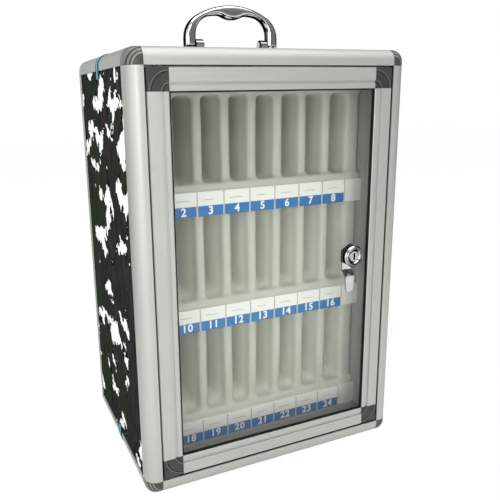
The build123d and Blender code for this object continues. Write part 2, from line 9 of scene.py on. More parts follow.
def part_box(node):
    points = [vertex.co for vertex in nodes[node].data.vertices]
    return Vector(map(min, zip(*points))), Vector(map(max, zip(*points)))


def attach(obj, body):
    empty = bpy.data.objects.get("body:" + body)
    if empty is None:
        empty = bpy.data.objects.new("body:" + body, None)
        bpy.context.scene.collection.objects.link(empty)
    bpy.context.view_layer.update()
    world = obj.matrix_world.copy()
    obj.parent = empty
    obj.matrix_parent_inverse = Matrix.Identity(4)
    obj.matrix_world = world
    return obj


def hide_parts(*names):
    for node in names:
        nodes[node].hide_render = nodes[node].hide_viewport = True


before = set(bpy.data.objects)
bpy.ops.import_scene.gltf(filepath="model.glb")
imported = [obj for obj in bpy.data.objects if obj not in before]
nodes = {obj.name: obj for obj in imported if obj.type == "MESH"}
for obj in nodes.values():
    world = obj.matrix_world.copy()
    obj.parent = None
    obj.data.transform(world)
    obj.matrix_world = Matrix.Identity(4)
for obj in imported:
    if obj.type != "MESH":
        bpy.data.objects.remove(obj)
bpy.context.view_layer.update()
MM = 0.001


# ------------------------------------------------------------ node helpers
class NodeBuilder:
    """Adds nodes to a node tree and joins them."""

    def __init__(self, tree):
        self.tree = tree

    def add(self, kind, values=None, **settings):
        """A new node with its settings. Each value goes to the socket of that name or number."""
        node = self.tree.nodes.new(kind)
        for key, value in settings.items():
            setattr(node, key, value)
        for key, value in (values or {}).items():
            self.feed(node.inputs[key], value)
        return node

    def feed(self, socket, value):
        """Joins a socket to another one, or sets its value. A colour may leave out its alpha."""
        if isinstance(value, bpy.types.NodeSocket):
            self.tree.links.new(value, socket)
        elif socket.type == "RGBA" and len(value) == 3:
            socket.default_value = (*value, 1.0)
        else:
            socket.default_value = value


class Tree(NodeBuilder):
    """The shader nodes of a material or of the world."""

    def __init__(self, owner, output="ShaderNodeOutputMaterial"):
        owner.use_nodes = True
        super().__init__(owner.node_tree)
        self.tree.nodes.clear()
        self.owner = owner
        self.output = self.add(output)
        self.coords = self.add("ShaderNodeTexCoord").outputs

    def place(self, scale=(1, 1, 1), location=(0, 0, 0), rotation=(0, 0, 0)):
        """Object coordinates, scaled, shifted and turned."""
        return self.add("ShaderNodeMapping", {"Vector": self.coords["Object"], "Scale": scale,
                                              "Location": location, "Rotation": rotation}).outputs[0]

    def axes(self):
        """The three object coordinates, each by itself."""
        return self.add("ShaderNodeSeparateXYZ", {0: self.place()}).outputs

    def noise(self, vector, scale, detail=2.0, rough=0.5, distortion=0.0):
        """Cloudy values about 0.5."""
        values = {"Vector": vector, "Scale": scale, "Detail": detail, "Roughness": rough,
                  "Distortion": distortion}
        return self.add("ShaderNodeTexNoise", values).outputs["Fac"]

    def range(self, value, low, high, to_low=0.0, to_high=1.0):
        """A value taken from one range to another, and held at its ends."""
        return self.add("ShaderNodeMapRange", {"Value": value, "From Min": low, "From Max": high,
                                               "To Min": to_low, "To Max": to_high}).outputs["Result"]

    def math(self, operation, a, b=0.0, c=0.0):
        """The result of one operation on up to three values."""
        return self.add("ShaderNodeMath", {0: a, 1: b, 2: c}, operation=operation).outputs[0]

    def apart(self, a, b):
        """The distance between two values."""
        return self.math("ABSOLUTE", self.math("SUBTRACT", a, b))

    def most(self, values):
        """The largest of some values."""
        largest, *others = values
        for value in others:
            largest = self.math("MAXIMUM", largest, value)
        return largest

    def mix(self, factor, a, b):
        """A colour between two others."""
        return self.add("ShaderNodeMix", {0: factor, 6: a, 7: b}, data_type="RGBA").outputs[2]

    def bump(self, height, strength, distance, normal=None):
        """A normal that shows the height as relief, on top of another normal if one is given."""
        values = {"Height": height, "Strength": strength, "Distance": distance}
        if normal is not None:
            values["Normal"] = normal
        return self.add("ShaderNodeBump", values).outputs[0]

    def soft_edge(self, radius):
        """A normal that rounds the sharp edges off."""
        return self.add("ShaderNodeBevel", {"Radius": radius}, samples=4).outputs[0]

    def show(self, shader):
        """Ends the tree with a shader and gives the material or world."""
        self.feed(self.output.inputs["Surface"], shader.outputs[0])
        return self.owner

    def surface(self, **values):
        """Ends the tree with a Principled shader. Its input names have _ for each space."""
        named = {key.replace("_", " "): value for key, value in values.items()}
        return self.show(self.add("ShaderNodeBsdfPrincipled", named))


def new_material(name):
    """The empty tree of a new material."""
    return Tree(bpy.data.materials.new(name))


def scaled(colour, factor):
    """A colour made darker or lighter."""
    return tuple(channel * factor for channel in colour)


# --------------------------------------------------------------- materials
DRAW_ACROSS = 900.0         # scales of the draw lines, across and along the extrusion
DRAW_ALONG = 5.0


def aluminium(along):
    """Satin anodised extrusion with fine draw lines along one axis."""
    t = new_material("aluminium_" + along)
    stretch = tuple(DRAW_ALONG if axis == along else DRAW_ACROSS for axis in "xyz")
    lines = t.noise(t.place(stretch), 1.0, 3.0, 0.6)
    cloud = t.noise(t.place((9, 9, 9)), 1.0, 3.0)
    tone = t.mix(t.range(cloud, 0.3, 0.7), (0.355, 0.370, 0.342), (0.385, 0.395, 0.366))
    return t.surface(
        Base_Color=t.mix(t.range(lines, 0.2, 0.8, 0.0, 0.30), tone, (0.295, 0.308, 0.283)),
        Metallic=0.66,
        Roughness=t.range(lines, 0.25, 0.75, 0.50, 0.63),
        Normal=t.bump(lines, 0.12, 0.0001, t.soft_edge(0.35 * MM)),
    )


JOINT_CORE = 0.35 * MM      # half width of the dark joint between a corner block and a rail
JOINT_FADE = 0.75 * MM
# the dark joints and the painted shade in the grooves both take this share of this black
JOINT_AND_SHADE_SHARE = 0.85
JOINT_AND_SHADE_BLACK = (0.012, 0.012, 0.010)
GROOVE_CORE = 0.7           # share of the groove's half width
GROOVE_HALF = 0.8 * MM
RIM_CORE = 0.25 * MM        # half width of the painted highlight on the rim beside a groove
RIM_FADE = 0.6 * MM
RIM_HIGHLIGHT_SHARE = 0.8
RIM_HIGHLIGHT_GAIN = 3.2
CROWN_FADE = 1 * MM


def cast_corner(name, dark, light, joints, grooves=(), crown=None):
    """Moulded corner block with a fine sandy grain and a dark joint where a rail butts on it.
    The joints lie at two distances from the middle, along X and Y, and at two heights.
    Grooves are radii round the inner corner, with painted shade inside and a painted highlight along
    the rim.
    The crown is the colour of the outer part of the corner, past the first groove."""
    t = new_material(name)
    grain = t.noise(t.place(), 1500.0, 2.0, 0.7)
    cloud = t.noise(t.place(), 60.0, 4.0)
    colour = t.mix(t.range(cloud, 0.3, 0.7), dark, light)
    x, y, z = t.axes()
    across_middle = t.math("ABSOLUTE", x)
    along_middle = t.math("ABSOLUTE", y)
    joint = t.most([t.range(t.apart(value, place), JOINT_CORE, JOINT_FADE, 1.0, 0.0)
                    for value, place in zip((across_middle, along_middle, z, z), joints)])
    across, _, low, high = joints
    reach = t.math("SUBTRACT", across_middle, across)
    rise = t.math("MINIMUM", t.apart(z, low), t.apart(z, high))
    radius = t.math("SQRT", t.math("MULTIPLY_ADD", reach, reach, t.math("MULTIPLY", rise, rise)))
    if crown:
        colour = t.mix(t.range(radius, grooves[0] - CROWN_FADE, grooves[0]), colour, crown)
    for groove in grooves:
        # painted highlight: a pale ring along the rim beside each groove
        rim = t.apart(radius, groove + 2 * GROOVE_HALF)
        rim_highlight = t.range(rim, RIM_CORE, RIM_FADE, RIM_HIGHLIGHT_SHARE, 0.0)
        colour = t.mix(rim_highlight, colour, scaled(light, RIM_HIGHLIGHT_GAIN))
        # painted shade inside each groove, joined with the dark joints
        depth = t.range(t.apart(radius, groove), GROOVE_HALF * GROOVE_CORE, GROOVE_HALF, 1.0, 0.0)
        joint = t.math("MAXIMUM", joint, depth)
    return t.surface(
        Base_Color=t.mix(t.math("MULTIPLY", joint, JOINT_AND_SHADE_SHARE), colour, JOINT_AND_SHADE_BLACK),
        Metallic=0.15,
        Roughness=t.range(grain, 0.3, 0.7, 0.40, 0.55),
        Specular_IOR_Level=0.3,
        Normal=t.bump(grain, 0.18, 0.0002, t.soft_edge(0.4 * MM)),
    )


# Tints of the print: upright stretch, shift, scale, distortion, first level, strength and colour.
TINTS = (
    (0.7, (0, 0, 0), 17.0, 0.4, 0.48, 0.65, (0.018, 0.028, 0.014)),
    (0.6, (3.1, 1.7, 0.4), 19.0, 0.5, 0.56, 0.45, (0.024, 0.017, 0.015)),
    (0.5, (7.3, 2.9, 5.4), 26.0, 0.5, 0.60, 0.40, (0.015, 0.013, 0.022)),
)
TINT_EDGE = 0.04
PATCH_SIZES = (21.0, 34.0)      # scales of the white patches and of their ragged outline
PATCH_RIM = (0.945, 0.975)
PATCH_WHITE = (1.020, 1.034)
TEAR_REACH = 0.021
TEAR_LEAN = math.radians(-24)


def camouflage():
    """Printed camouflage sheet: streaked charcoal, green and brown under ragged white."""
    t = new_material("camouflage")
    streak = t.noise(t.place((430, 430, 26)), 1.0, 3.0, 0.7, 0.4)
    broad = t.noise(t.place((120, 120, 11)), 1.0, 2.0, 0.6)
    dark = t.mix(t.range(streak, 0.32, 0.68), (0.0030, 0.0030, 0.0028), (0.046, 0.047, 0.042))
    dark = t.mix(t.range(broad, 0.35, 0.7, 0.0, 0.55), dark, (0.012, 0.011, 0.012))
    for stretch, shift, scale, distortion, level, strength, colour in TINTS:
        cloud = t.noise(t.place((1, 1, stretch), shift), scale, 2.0, 0.5, distortion)
        dark = t.mix(t.range(cloud, level, level + TINT_EDGE, 0.0, strength), dark, colour)

    tear = t.add("ShaderNodeTexNoise", {"Vector": t.place(), "Scale": 85.0, "Detail": 2.0})
    pull = t.add("ShaderNodeVectorMath", {0: tear.outputs["Color"], 1: (0.5, 0.5, 0.5)},
                 operation="SUBTRACT")
    pull = t.add("ShaderNodeVectorMath", {0: pull.outputs[0], "Scale": TEAR_REACH}, operation="SCALE")
    lean = t.place((0.85, 0.72, 1.0), (0.37, 0.21, 0.93), (TEAR_LEAN, 0, 0))
    torn = t.add("ShaderNodeVectorMath", {0: lean, 1: pull.outputs[0]}, operation="ADD").outputs[0]
    spots = t.add("ShaderNodeTexVoronoi", {"Vector": torn, "Scale": PATCH_SIZES[0]}).outputs["Distance"]
    ragged = t.noise(torn, PATCH_SIZES[1], 2.5, 0.5)
    patch = t.math("MULTIPLY_ADD", ragged, 2.2, t.math("MULTIPLY", spots, -0.5))
    rim = t.mix(t.range(patch, *PATCH_RIM), dark, (0.002, 0.002, 0.002))
    paper = t.mix(t.range(streak, 0.3, 0.7), (0.66, 0.66, 0.65), (0.78, 0.78, 0.77))
    weave = t.add("ShaderNodeTexWave", {"Vector": t.place(), "Scale": 420.0, "Distortion": 0.4},
                  bands_direction="DIAGONAL").outputs["Fac"]
    return t.surface(
        Base_Color=t.mix(t.range(patch, *PATCH_WHITE), rim, paper),
        Roughness=t.range(streak, 0.3, 0.7, 0.62, 0.75),
        Specular_IOR_Level=0.0,
        Normal=t.bump(weave, 0.08, 0.0002),
    )


SHADE_START = 0.26          # painted shade: the foam is greyer towards the top of the case
SHADE_END = 0.40
FOAM_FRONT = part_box("slot_dividers_lower")[0].y + 2 * MM
FOAM_FRONT_SHADE = 16 * MM          # painted shade: the front faces are greyer this deep


def foam(name, pale, deep):
    """Closed-cell foam with a skin of fine pores, with painted shade towards the top of the case and on
    the front faces.
    """
    t = new_material(name)
    cells = t.add("ShaderNodeTexVoronoi", {"Vector": t.place(), "Scale": 620.0}).outputs["Distance"]
    lumps = t.noise(t.place(), 55.0, 4.0, 0.55)
    fine = t.noise(t.place(), 480.0, 3.0, 0.6)
    rubbed = t.noise(t.place((40, 40, 9)), 1.0, 4.0, 0.6)
    _, y, z = t.axes()
    tone = t.mix(t.range(lumps, 0.3, 0.7), deep, pale)
    tone = t.mix(t.range(rubbed, 0.42, 0.75, 0.0, 0.30), tone, deep)
    # painted shade: greyer towards the top of the case
    tone = t.mix(t.range(z, SHADE_START, SHADE_END, 0.0, 0.75), tone, scaled(deep, 0.72))
    # painted shade on the front faces, to this depth behind the front
    tone = t.mix(t.range(y, FOAM_FRONT, FOAM_FRONT + FOAM_FRONT_SHADE, 1.0, 0.0), tone, scaled(deep, 0.62))
    return t.surface(
        Base_Color=t.mix(t.range(cells, 0.0, 0.35, 0.16, 0.0), tone, (0.42, 0.42, 0.38)),
        Roughness=0.92,
        Normal=t.bump(cells, 0.25, 0.0004, t.bump(fine, 0.35, 0.0006)),
        Sheen_Weight=0.12,
    )


def board(name, colour_a, colour_b, rough=0.7):
    """Fibre board or moulded sheet with a slight mottled tone."""
    t = new_material(name)
    cloud = t.noise(t.place(), 70.0, 5.0, 0.6)
    fibre = t.noise(t.place(), 700.0, 2.0, 0.6)
    return t.surface(
        Base_Color=t.mix(t.range(cloud, 0.3, 0.7), colour_a, colour_b),
        Roughness=t.range(fibre, 0.3, 0.7, rough - 0.06, rough + 0.06),
        Normal=t.bump(fibre, 0.2, 0.0003),
    )


def plain_metal(name, colour, rough, painted_dark_rim=0.0):
    """Polished or plated metal with faint polishing marks.
    The last value sets how far its slanting faces and rounded edges are darkened, a painted dark
    reflection such as they show in a bright room."""
    t = new_material(name)
    marks = t.noise(t.place(), 240.0, 4.0, 0.65)
    colour = t.mix(t.range(marks, 0.3, 0.7, 0.0, 0.15), colour, (0.30, 0.30, 0.295))
    slant = t.add("ShaderNodeLayerWeight", {"Blend": 0.5}).outputs["Facing"]
    true_normal = t.add("ShaderNodeNewGeometry").outputs["Normal"]
    rolled = t.add("ShaderNodeVectorMath", {0: t.soft_edge(1.1 * MM), 1: true_normal},
                   operation="DOT_PRODUCT").outputs["Value"]
    # painted dark reflection on slanting faces and rounded edges
    dark = t.most([t.range(slant, 0.20, 0.42), t.range(rolled, 0.84, 0.98, 1.0, 0.0)])
    return t.surface(
        Base_Color=t.mix(t.math("MULTIPLY", dark, painted_dark_rim), colour, (0.012, 0.012, 0.012)),
        Metallic=1.0,
        Specular_Tint=(1.0 - painted_dark_rim,) * 3,
        Roughness=t.range(marks, 0.3, 0.7, rough * 0.8, rough * 1.3),
        Normal=t.bump(marks, 0.02, 0.0003, t.soft_edge(0.25 * MM)),
    )


GLASS_INDEX = 1.45
GLASS_SHINE = 0.6           # share of the full reflection


def glass():
    """Clear float glass, faintly tinted, that lets the light through."""
    t = new_material("glass")
    smear = t.noise(t.place(), 14.0, 4.0, 0.6)
    clear = t.add("ShaderNodeBsdfTransparent", {"Color": (0.93, 0.94, 0.93)})
    shine = t.add("ShaderNodeBsdfAnisotropic", {"Color": (0.95, 0.97, 0.96),
                                                "Roughness": t.range(smear, 0.3, 0.7, 0.02, 0.07)})
    inside = t.add("ShaderNodeNewGeometry").outputs["Backfacing"]
    index = t.range(inside, 0.0, 1.0, GLASS_INDEX, 1 / GLASS_INDEX)
    fresnel = t.add("ShaderNodeFresnel", {"IOR": index}).outputs[0]
    share = t.math("MULTIPLY", fresnel, GLASS_SHINE)
    return t.show(t.add("ShaderNodeMixShader", {0: share, 1: clear.outputs[0], 2: shine.outputs[0]}))


def rubber():
    """Black rubber with a fine matt grain."""
    t = new_material("black_rubber")
    grain = t.noise(t.place(), 900.0, 3.0, 0.6)
    return t.surface(
        Base_Color=t.mix(grain, (0.002, 0.002, 0.002), (0.007, 0.007, 0.007)),
        Roughness=t.range(grain, 0.3, 0.7, 0.5, 0.7),
        Specular_IOR_Level=0.15,
        Normal=t.bump(grain, 0.2, 0.0002),
    )


SELVEDGE_CORE = 3.0 * MM
SELVEDGE_FADE = 3.8 * MM


def webbing():
    """Light-blue woven webbing with dark selvedges."""
    t = new_material("webbing")
    low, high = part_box("strap_tabs")
    from_edge = t.math("SUBTRACT", (high.y - low.y) / 2, t.apart(t.axes()[1], (low.y + high.y) / 2))
    ribs = t.add("ShaderNodeTexWave", {"Vector": t.place(), "Scale": 190.0},
                 bands_direction="Z").outputs["Fac"]
    threads = t.noise(t.place(), 900.0, 3.0, 0.6)
    colour = t.mix(t.range(ribs, 0.2, 0.8, 0.0, 0.6), (0.16, 0.40, 0.50), (0.09, 0.27, 0.37))
    colour = t.mix(t.range(threads, 0.4, 0.7, 0.0, 0.3), colour, (0.04, 0.12, 0.17))
    selvedge = t.range(from_edge, SELVEDGE_CORE, SELVEDGE_FADE, 1.0, 0.0)
    return t.surface(
        Base_Color=t.mix(selvedge, colour, (0.010, 0.022, 0.030)),
        Roughness=0.85,
        Specular_IOR_Level=0.1,
        Normal=t.bump(ribs, 0.5, 0.0004),
    )


# ------------------------------------------------------ places in the frame
WELD = 0.005 * MM


def welded(*names):
    """The merged surface of some frame nodes, as a bmesh."""
    whole = bmesh.new()
    for name in names:
        whole.from_mesh(nodes[name].data)
    bmesh.ops.remove_doubles(whole, verts=whole.verts, dist=WELD)
    return whole


def islands(name):
    """(lowest, highest) corner of each separate solid in a frame node, from left to right.
    The order follows from the places alone, so it is the same in each run."""
    whole = welded(name)
    left = set(whole.verts)
    found = []
    while left:
        group = set()
        edge = [left.pop()]
        while edge:
            vertex = edge.pop()
            group.add(vertex)
            near = {link.other_vert(vertex) for link in vertex.link_edges} & left
            left -= near
            edge.extend(near)
        places = [vertex.co for vertex in group]
        found.append((Vector(min(place[i] for place in places) for i in range(3)),
                      Vector(max(place[i] for place in places) for i in range(3))))
    whole.free()
    return sorted(found, key=lambda box: [round(value, 4) for value in box[0]])


CARDS = sorted(islands("label_cards"), key=lambda box: (-round(box[0].z, 3), box[0].x))
TIER_FLOORS = sorted({round(low.z, 5) for low, high in CARDS})
CARDS_PER_TIER = len(CARDS) // len(TIER_FLOORS)
CARD_WIDTH = CARDS[0][1].x - CARDS[0][0].x
CARD_HEIGHT = CARDS[0][1].z - CARDS[0][0].z
CARD_PITCH = CARDS[1][0].x - CARDS[0][0].x
CARD_FACE = CARDS[0][0].y
BAND_HEIGHT = 12.2 * MM


def card_paper():
    """White name cards with a printed blue band along the lower part."""
    t = new_material("card_paper")
    fibre = t.noise(t.place(), 700.0, 3.0, 0.6)
    height = t.axes()[2]
    band = t.most([t.math("COMPARE", height, bottom + BAND_HEIGHT / 2, BAND_HEIGHT / 2)
                   for bottom in TIER_FLOORS])
    paper = t.mix(t.range(fibre, 0.3, 0.7), (0.72, 0.72, 0.68), (0.80, 0.80, 0.76))
    blue = t.mix(t.range(fibre, 0.3, 0.7), (0.001, 0.118, 0.350), (0.002, 0.145, 0.420))
    return t.surface(
        Base_Color=t.mix(band, paper, blue),
        Roughness=0.42,
        Normal=t.bump(fibre, 0.08, 0.0002),
        Coat_Weight=0.08,
        Coat_Roughness=0.35,
    )


def printed_ink(name, colour):
    """Matt ink or shadow of one tone, faintly uneven."""
    t = new_material(name)
    grain = t.noise(t.place(), 800.0, 3.0, 0.6)
    return t.surface(
        Base_Color=t.mix(t.range(grain, 0.3, 0.7), scaled(colour, 0.9), colour),
        Roughness=0.5,
    )


ALU = {axis: aluminium(axis) for axis in "xyz"}
CASE_JOINTS = (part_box("rail_front_top")[1].x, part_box("rail_side_top_left")[1].y,
               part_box("rail_front_left")[0].z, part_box("rail_front_left")[1].z)
# The door is flat, so its blocks have no joint along Y and the middle stands in for it.
DOOR_JOINTS = (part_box("door_rail_top")[1].x, 0.0,
               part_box("door_stile_left")[0].z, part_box("door_stile_left")[1].z)
CORNER_DARK = cast_corner("corner_dark", (0.036, 0.037, 0.033), (0.050, 0.050, 0.045), CASE_JOINTS,
                          grooves=(9.5 * MM, 12.7 * MM, 15.9 * MM), crown=(0.125, 0.126, 0.114))
CORNER_DOOR = cast_corner("corner_door", (0.024, 0.025, 0.022), (0.036, 0.036, 0.032), DOOR_JOINTS,
                          grooves=(6.6 * MM, 18.6 * MM))
CORNER_SILVER = cast_corner("corner_silver", (0.40, 0.40, 0.385), (0.47, 0.47, 0.45), CASE_JOINTS)
CAMO = camouflage()
FOAM = foam("slot_foam", (0.83, 0.825, 0.745), (0.77, 0.765, 0.685))
LINING = foam("lining_foam", (0.60, 0.60, 0.555), (0.52, 0.52, 0.48))
FLOOR_PAD = foam("floor_foam", (0.40, 0.40, 0.375), (0.34, 0.34, 0.32))
SHELF = board("shelf_board", (0.60, 0.60, 0.56), (0.68, 0.68, 0.64))
STRIP = board("strip_plastic", (0.66, 0.66, 0.62), (0.72, 0.72, 0.68), 0.4)
PIVOT = board("pivot_plastic", (0.03, 0.03, 0.03), (0.05, 0.05, 0.05), 0.5)
CHROME = plain_metal("chrome", (0.74, 0.745, 0.72), 0.06, painted_dark_rim=0.92)
LOCK = plain_metal("lock_chrome", (0.46, 0.465, 0.445), 0.08, painted_dark_rim=0.95)
LUG = plain_metal("lug_chrome", (0.34, 0.34, 0.33), 0.10, painted_dark_rim=0.85)
STEEL = plain_metal("steel", (0.46, 0.46, 0.45), 0.22)
GLASS = glass()
RUBBER = rubber()
WEBBING = webbing()
CARD = card_paper()
INK_WHITE = printed_ink("ink_white", (0.84, 0.85, 0.84))
INK_GREY = printed_ink("ink_grey", (0.16, 0.16, 0.16))
# painted shade along the edges of the name cards
CARD_EDGE_SHADE = printed_ink("card_edge_shade_grey", (0.30, 0.30, 0.29))
# painted shade of the crossed screw recesses
RECESS_SHADE = printed_ink("screw_recess", (0.03, 0.03, 0.03))

# The first name that a frame node starts with decides its material. Pieces below stand in
# for the soft nodes and for the handle.
FINISHES = {
    "rail_front_left": ALU["z"],
    "rail_front_right": ALU["z"],
    "rail_rear_left": ALU["z"],
    "rail_rear_right": ALU["z"],
    "rail_front": ALU["x"],
    "rail_rear": ALU["x"],
    "rail_side": ALU["y"],
    "door_stile": ALU["z"],
    "door_rail": ALU["x"],
    "corner_front": CORNER_DARK,
    "corner_rear": CORNER_SILVER,
    "door_corners": CORNER_DOOR,
    "panel": CAMO,
    "shelf": SHELF,
    "label_strips": STRIP,
    "label_cards": CARD,
    "door_glass": GLASS,
    "door_gasket": RUBBER,
    "pivot": PIVOT,
    "lock_housing": LOCK,
    "lock_plug": LOCK,
    "lock_nut": LUG,
    "lock_cam": CHROME,
    "cam_screw": STEEL,
    "handle_brackets": LUG,
    "handle_pins": STEEL,
    "bracket_screws": STEEL,
    "strap_tabs": WEBBING,
}
for name, node in nodes.items():
    material = next((FINISHES[start] for start in FINISHES if name.startswith(start)), None)
    if material is None:
        continue
    for slot in node.material_slots:
        slot.link = "OBJECT"
        slot.material = material


# ------------------------------------------------------------ mesh helpers
def new_object(name, data):
    """A new object in the scene for a mesh, a curve, a light or a camera."""
    piece = bpy.data.objects.new(name, data)
    bpy.context.scene.collection.objects.link(piece)
    return piece


def to_mesh(name, shape):
    """The mesh that a bmesh holds. The bmesh is used up."""
    mesh = bpy.data.meshes.new(name)
    shape.to_mesh(mesh)
    shape.free()
    return mesh


def built(name, shape):
    """A new object with the mesh that a bmesh holds."""
    return new_object(name, to_mesh(name, shape))


def bake(piece):
    """Replaces an object's mesh by the plain mesh that its modifiers make."""
    evaluated = piece.evaluated_get(bpy.context.evaluated_depsgraph_get())
    mesh = bpy.data.meshes.new_from_object(evaluated)
    piece.modifiers.clear()
    old = piece.data
    piece.data = mesh
    bpy.data.meshes.remove(old)
    mesh.name = piece.name


def soften(piece, cell, rounds):
    """Rebuilds an object's mesh from even cells and smooths it for some rounds."""
    remesh = piece.modifiers.new("cells", "REMESH")
    remesh.mode = "VOXEL"
    remesh.voxel_size = cell
    smooth = piece.modifiers.new("soften", "SMOOTH")
    smooth.factor = 0.5
    smooth.iterations = rounds
    bake(piece)


def move_surface(piece, target):
    """Moves each vertex of an object's mesh to the place that a function of it gives."""
    shape = bmesh.new()
    shape.from_mesh(piece.data)
    shape.normal_update()
    for vertex in shape.verts:
        vertex.co = target(vertex)
    shape.to_mesh(piece.data)
    shape.free()


def add_box(shape, low, high):
    """Adds a plain box to a bmesh."""
    for vertex in bmesh.ops.create_cube(shape, size=1.0)["verts"]:
        vertex.co = [low[i] + (vertex.co[i] + 0.5) * (high[i] - low[i]) for i in range(3)]


def cut(shape, axis, at, **settings):
    """Cuts a bmesh across an axis, at some distance along it."""
    normal = Vector((0, 0, 0))
    normal[axis] = 1.0
    bmesh.ops.bisect_plane(shape, geom=shape.verts[:] + shape.edges[:] + shape.faces[:],
                           plane_co=normal * at, plane_no=normal, **settings)


def skin(shape, rings):
    """Joins each ring of vertices to the next one with a band of faces."""
    for ring, following in zip(rings, rings[1:]):
        for index, vertex in enumerate(ring):
            after = (index + 1) % len(ring)
            shape.faces.new((vertex, ring[after], following[after], following[index]))


def finished(piece, material, body):
    """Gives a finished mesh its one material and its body."""
    piece.data.materials.clear()
    piece.data.materials.append(material)
    for face in piece.data.polygons:
        face.material_index = 0
    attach(piece, body)


# ------------------------------------------------------------- foam pieces
FOAM_CELL = 2.6 * MM
FOAM_ROUNDS = 2
FOAM_BITE = 0.8 * MM        # dividers reach this far into the bed, the roof and the back
FOAM_INSET = 0.05 * MM      # the soft surface stays this far inside the solids' box
FOAM_SWAY = 0.9 * MM        # slow wandering of the dividers
FOAM_SWAY_SCALE = (26.0, 9.0, 11.0)
FOAM_SWELL = 0.5 * MM       # gentle hills and dents of a hand-cut surface
FOAM_SWELL_SCALE = 34.0


def foam_tier(tier):
    """One soft comb of foam: the bed and back with the dividers grown together. The upper
    tier has a roof too, and the others run up to the board above them."""
    block = "slot_block_" + tier
    dividers = "slot_dividers_" + tier
    low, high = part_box(block)
    comb_low, comb_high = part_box(dividers)
    open_top = tier != "upper"
    reach = high.z - comb_high.z if open_top else FOAM_BITE
    comb = welded(dividers)
    for vertex in comb.verts:
        place = vertex.co
        if place.z < comb_low.z + FOAM_BITE:
            place.z -= FOAM_BITE
        elif place.z > comb_high.z - FOAM_BITE:
            place.z += reach
        if place.y > comb_high.y - FOAM_BITE:
            place.y += FOAM_BITE
    shape = welded(block)
    if open_top:
        cut(shape, 2, comb_low.z + FOAM_BITE, clear_outer=True)
        bmesh.ops.holes_fill(shape, edges=[edge for edge in shape.edges if edge.is_boundary])
        add_box(shape, Vector((low.x, comb_high.y, comb_low.z - FOAM_BITE)), high)
    shape.from_mesh(to_mesh("comb", comb))
    piece = built("foam_tier_" + tier, shape)
    soften(piece, FOAM_CELL, FOAM_ROUNDS)
    inset = Vector((FOAM_INSET, FOAM_INSET, FOAM_INSET))
    least = low + inset
    most = high - inset

    def uneven(vertex):
        """The vertex's place, swelled and swayed, and kept inside the solids' box."""
        place = vertex.co
        target = place + vertex.normal * FOAM_SWELL * noise.noise(place * FOAM_SWELL_SCALE)
        if comb_low.z < place.z < comb_high.z:
            spot = Vector(place[i] * FOAM_SWAY_SCALE[i] for i in range(3))
            target.x += FOAM_SWAY * noise.noise(spot)
        return [min(max(target[i], least[i]), most[i]) for i in range(3)]

    move_surface(piece, uneven)
    piece.data.shade_smooth()
    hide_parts(block, dividers)
    finished(piece, FOAM, "case")


SHEET_STEP = 9.0 * MM       # distance of the cuts that let the face be uneven
SHEET_ROUNDING = 0.3        # share of the thickness
SHEET_SCALE = 21.0
SHEET_ORDER = Vector((1.0, 11.3, 127.7))    # faces are listed along this slant, alike in each run


def foam_sheet(node, material, crown):
    """A lining or a pad cut from sheet foam, with soft edges and an uneven face."""
    low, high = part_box(node)
    size = high - low
    thin = min(range(3), key=lambda i: size[i])
    shape = bmesh.new()
    add_box(shape, low, high)
    bmesh.ops.bevel(shape, geom=list(shape.edges), offset=size[thin] * SHEET_ROUNDING, segments=3,
                    affect="EDGES", profile=0.5)
    for axis in range(3):
        if axis == thin:
            continue
        steps = int(size[axis] / SHEET_STEP)
        for index in range(1, steps):
            cut(shape, axis, low[axis] + size[axis] * index / steps)
    middle = (low[thin] + high[thin]) / 2
    for vertex in shape.verts:
        inwards = middle - vertex.co[thin]
        vertex.co[thin] += inwards * crown * (0.5 + 0.5 * noise.noise(vertex.co * SHEET_SCALE))
    bmesh.ops.recalc_face_normals(shape, faces=shape.faces)
    shape.faces.sort(key=lambda face: face.calc_center_median().dot(SHEET_ORDER))
    piece = built("foam_" + node, shape)
    piece.data.shade_smooth()
    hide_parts(node)
    finished(piece, material, "case")


for tier in ("lower", "middle", "upper"):
    foam_tier(tier)
for side in ("left", "right", "ceiling"):
    foam_sheet("lining_" + side, LINING, 0.35)
foam_sheet("floor_pad", FLOOR_PAD, 0.25)


# -------------------------------------------------------------- black seal
SEAL_BACK = 0.02 * MM
SEAL_THICK = 0.75 * MM
SEAL_EDGE = SEAL_THICK * 0.6
SEAL_START = 1.6 * MM
SEAL_END = 8.3 * MM
SEAL_MIDDLE = (SEAL_START + SEAL_END) / 2
SEAL_PROFILE = (            # distance into the opening, depth behind the front
    (SEAL_BACK, SEAL_START),
    (SEAL_EDGE, SEAL_START),
    (SEAL_THICK, SEAL_MIDDLE),
    (SEAL_EDGE, SEAL_END),
    (SEAL_BACK, SEAL_END),
)
PIVOT_CLEAR = 5.0 * MM


def seal_run(shape, path):
    """Adds a mitred run of the seal to a bmesh, along a path in the front of the opening."""
    ways = [(end - start).normalized() for start, end in zip(path, path[1:])]
    rings = []
    for index, point in enumerate(path):
        sides = [Vector((-way.z, 0, way.x)) for way in ways[max(index - 1, 0):index + 1]]
        inward = (sides[0] + sides[-1]) / (1 + sides[0].dot(sides[-1]))
        rings.append([shape.verts.new(point + inward * reach + Vector((0, depth, 0)))
                      for reach, depth in SEAL_PROFILE])
    skin(shape, rings)
    shape.faces.new(rings[0][::-1])
    shape.faces.new(rings[-1])


